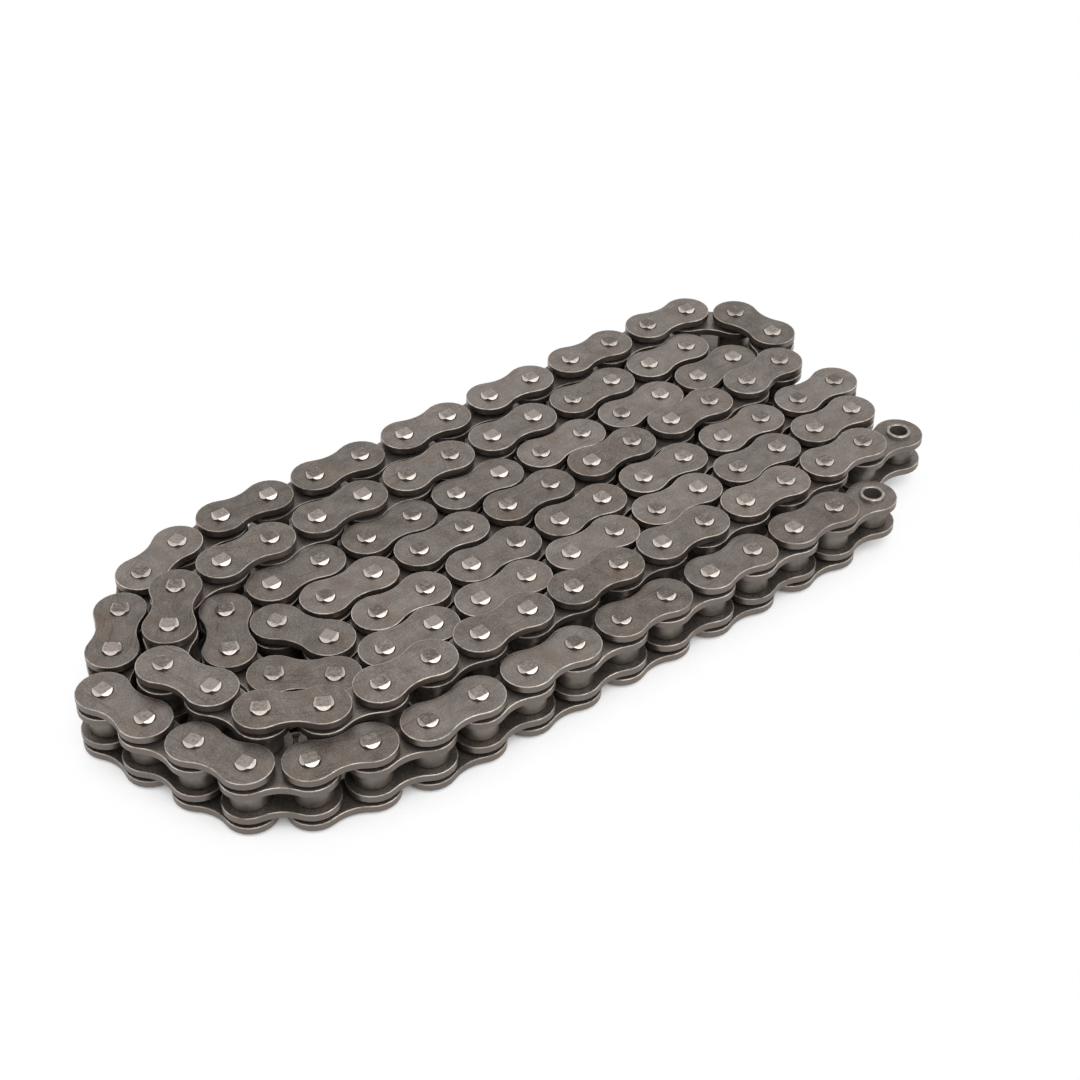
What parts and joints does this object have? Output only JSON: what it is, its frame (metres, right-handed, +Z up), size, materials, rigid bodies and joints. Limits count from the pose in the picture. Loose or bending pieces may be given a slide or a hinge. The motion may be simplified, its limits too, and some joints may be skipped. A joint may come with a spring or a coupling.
{
  "type": "drive chain",
  "caption": "Sealed roller chain lying on its side in a folded spiral, both ends open at inner links, with a free tail that bends link by link.",
  "frame": {"origin": "middle of the lay in plan, on the surface that the lower rivet heads stand on", "axes": "+X along the front row towards its free end, +Z up along the pins"},
  "size_m": [0.2638, 0.1192, 0.0242],
  "materials": {
    "outer_plates": "tumbled and oiled, low sheen",
    "inner_plates": "tumbled and oiled, low sheen",
    "pins": "ground, staked ends bright",
    "bushes": "ground, bright rim",
    "rollers": "smooth, oiled",
    "seal_rings": "matt, greased"
  },
  "bodies": {
    "coil": {"coil_lower_outer_plates": "outer_plates", "coil_upper_outer_plates": "outer_plates", "coil_pins": "pins", "coil_lower_inner_plates": "inner_plates", "coil_upper_inner_plates": "inner_plates", "coil_bushes": "bushes", "coil_rollers": "rollers"},
    "link_001": {"link_001_inner_plates": "inner_plates", "link_001_bushes": "bushes", "link_001_seal_rings": "seal_rings"},
    "link_001_roller_a": {"link_001_roller_a": "rollers"},
    "link_001_roller_b": {"link_001_roller_b": "rollers"},
    "link_002": {"link_002_outer_plates": "outer_plates", "link_002_pins": "pins"},
    "link_003": {"link_003_inner_plates": "inner_plates", "link_003_bushes": "bushes", "link_003_seal_rings": "seal_rings"},
    "link_003_roller_a": {"link_003_roller_a": "rollers"},
    "link_003_roller_b": {"link_003_roller_b": "rollers"},
    "link_004": {"link_004_outer_plates": "outer_plates", "link_004_pins": "pins"},
    "link_005": {"link_005_inner_plates": "inner_plates", "link_005_bushes": "bushes", "link_005_seal_rings": "seal_rings"},
    "link_005_roller_a": {"link_005_roller_a": "rollers"},
    "link_005_roller_b": {"link_005_roller_b": "rollers"},
    "link_006": {"link_006_outer_plates": "outer_plates", "link_006_pins": "pins"},
    "link_007": {"link_007_inner_plates": "inner_plates", "link_007_bushes": "bushes", "link_007_seal_rings": "seal_rings"},
    "link_007_roller_a": {"link_007_roller_a": "rollers"},
    "link_007_roller_b": {"link_007_roller_b": "rollers"},
    "link_008": {"link_008_outer_plates": "outer_plates", "link_008_pins": "pins"},
    "link_009": {"link_009_inner_plates": "inner_plates", "link_009_bushes": "bushes", "link_009_seal_rings": "seal_rings"},
    "link_009_roller_a": {"link_009_roller_a": "rollers"},
    "link_009_roller_b": {"link_009_roller_b": "rollers"},
    "link_119": {"link_119_inner_plates": "inner_plates", "link_119_bushes": "bushes", "link_119_seal_rings": "seal_rings"},
    "link_119_roller_a": {"link_119_roller_a": "rollers"},
    "link_119_roller_b": {"link_119_roller_b": "rollers"}
  },
  "joints": [
    {"name": "link_009_hinge", "type": "hinge", "parent": "coil", "child": "link_009", "pos_m": [-0.04928, -0.05231, 0.00983], "axis": [0, 0, 1], "range_deg": [-30, 0]},
    {"name": "link_008_hinge", "type": "hinge", "parent": "link_009", "child": "link_008", "pos_m": [-0.03341, -0.05231, 0.00983], "axis": [0, 0, 1], "range_deg": [-30, 0]},
    {"name": "link_007_hinge", "type": "hinge", "parent": "link_008", "child": "link_007", "pos_m": [-0.01753, -0.05231, 0.00983], "axis": [0, 0, 1], "range_deg": [-30, 0]},
    {"name": "link_006_hinge", "type": "hinge", "parent": "link_007", "child": "link_006", "pos_m": [-0.00166, -0.05231, 0.00983], "axis": [0, 0, 1], "range_deg": [-30, 0]},
    {"name": "link_005_hinge", "type": "hinge", "parent": "link_006", "child": "link_005", "pos_m": [0.01422, -0.05231, 0.00983], "axis": [0, 0, 1], "range_deg": [-30, 0]},
    {"name": "link_004_hinge", "type": "hinge", "parent": "link_005", "child": "link_004", "pos_m": [0.03009, -0.05231, 0.00983], "axis": [0, 0, 1], "range_deg": [-30, 0]},
    {"name": "link_003_hinge", "type": "hinge", "parent": "link_004", "child": "link_003", "pos_m": [0.04597, -0.05231, 0.00983], "axis": [0, 0, 1], "range_deg": [-30, 0]},
    {"name": "link_002_hinge", "type": "hinge", "parent": "link_003", "child": "link_002", "pos_m": [0.06184, -0.05231, 0.00983], "axis": [0, 0, 1], "range_deg": [-30, 0]},
    {"name": "link_001_hinge", "type": "hinge", "parent": "link_002", "child": "link_001", "pos_m": [0.07772, -0.05231, 0.00983], "axis": [0, 0, 1], "range_deg": [-30, 0]},
    {"name": "link_119_hinge", "type": "hinge", "parent": "coil", "child": "link_119", "pos_m": [0.10547, -0.03603, 0.01073], "axis": [0, 0, 1], "range_deg": [-30, 0]},
    {"name": "link_001_roller_a_spin", "type": "hinge", "parent": "link_001", "child": "link_001_roller_a", "pos_m": [0.09359, -0.05231, 0.00983], "axis": [0, 0, 1], "continuous": true},
    {"name": "link_001_roller_b_spin", "type": "hinge", "parent": "link_001", "child": "link_001_roller_b", "pos_m": [0.07772, -0.05231, 0.00983], "axis": [0, 0, 1], "continuous": true},
    {"name": "link_003_roller_a_spin", "type": "hinge", "parent": "link_003", "child": "link_003_roller_a", "pos_m": [0.06184, -0.05231, 0.00983], "axis": [0, 0, 1], "continuous": true},
    {"name": "link_003_roller_b_spin", "type": "hinge", "parent": "link_003", "child": "link_003_roller_b", "pos_m": [0.04597, -0.05231, 0.00983], "axis": [0, 0, 1], "continuous": true},
    {"name": "link_005_roller_a_spin", "type": "hinge", "parent": "link_005", "child": "link_005_roller_a", "pos_m": [0.03009, -0.05231, 0.00983], "axis": [0, 0, 1], "continuous": true},
    {"name": "link_005_roller_b_spin", "type": "hinge", "parent": "link_005", "child": "link_005_roller_b", "pos_m": [0.01422, -0.05231, 0.00983], "axis": [0, 0, 1], "continuous": true},
    {"name": "link_007_roller_a_spin", "type": "hinge", "parent": "link_007", "child": "link_007_roller_a", "pos_m": [-0.00166, -0.05231, 0.00983], "axis": [0, 0, 1], "continuous": true},
    {"name": "link_007_roller_b_spin", "type": "hinge", "parent": "link_007", "child": "link_007_roller_b", "pos_m": [-0.01753, -0.05231, 0.00983], "axis": [0, 0, 1], "continuous": true},
    {"name": "link_009_roller_a_spin", "type": "hinge", "parent": "link_009", "child": "link_009_roller_a", "pos_m": [-0.03341, -0.05231, 0.00983], "axis": [0, 0, 1], "continuous": true},
    {"name": "link_009_roller_b_spin", "type": "hinge", "parent": "link_009", "child": "link_009_roller_b", "pos_m": [-0.04928, -0.05231, 0.00983], "axis": [0, 0, 1], "continuous": true},
    {"name": "link_119_roller_a_spin", "type": "hinge", "parent": "link_119", "child": "link_119_roller_a", "pos_m": [0.10547, -0.03603, 0.01073], "axis": [0, 0, 1], "continuous": true},
    {"name": "link_119_roller_b_spin", "type": "hinge", "parent": "link_119", "child": "link_119_roller_b", "pos_m": [0.12134, -0.03592, 0.01073], "axis": [0, 0, 1], "continuous": true}
  ]
}
